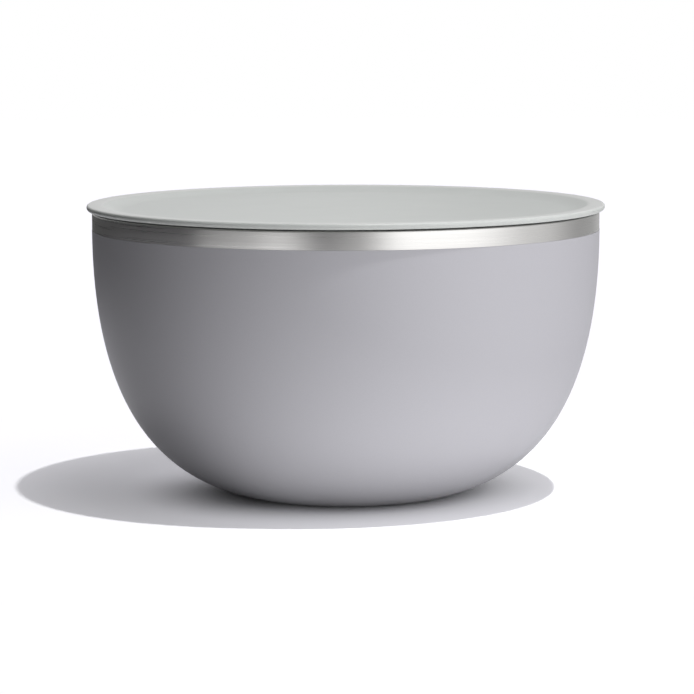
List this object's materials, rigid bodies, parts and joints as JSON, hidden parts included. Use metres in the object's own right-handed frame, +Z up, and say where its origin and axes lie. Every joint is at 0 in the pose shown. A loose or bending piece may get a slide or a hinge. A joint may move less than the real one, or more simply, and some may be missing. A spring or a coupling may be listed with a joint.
{
  "type": "serving bowl with lid",
  "caption": "Round double-walled insulated serving bowl in powder-coated steel with a bare brushed rim band, closed by a dished press-in lid that seals with a silicone gasket.",
  "frame": {"origin": "middle of the underside of the base pad, on the surface that the bowl stands on", "axes": "+Z up along the bowl's axis, -Y towards the side that faces the camera in the picture"},
  "size_m": [0.2716, 0.2716, 0.1524],
  "materials": {
    "powder_coat": "matt lavender-grey powder coat with a fine even texture",
    "brushed_steel": "bare stainless steel, brushed round the bowl",
    "lid_plastic": "satin moulded polypropylene, light grey",
    "gasket_silicone": "satin moulded silicone, pale grey",
    "pad_silicone": "matt moulded silicone, mid grey",
    "solder_glass": "opaque dark solder glass, fire-polished",
    "getter_alloy": "pressed grey metal powder"
  },
  "bodies": {
    "bowl": {"outer_shell": "powder_coat", "inner_liner": "brushed_steel", "vacuum_seal": "solder_glass", "getter_cup": "brushed_steel", "getter_pellet": "getter_alloy", "base_pad": "pad_silicone"},
    "lid": {"lid_panel": "lid_plastic", "lid_gasket": "gasket_silicone"}
  },
  "joints": [
    {"name": "lid_lift", "type": "slide", "parent": "bowl", "child": "lid", "axis": [0, 0, 1], "range_m": [0, 0.2]}
  ]
}
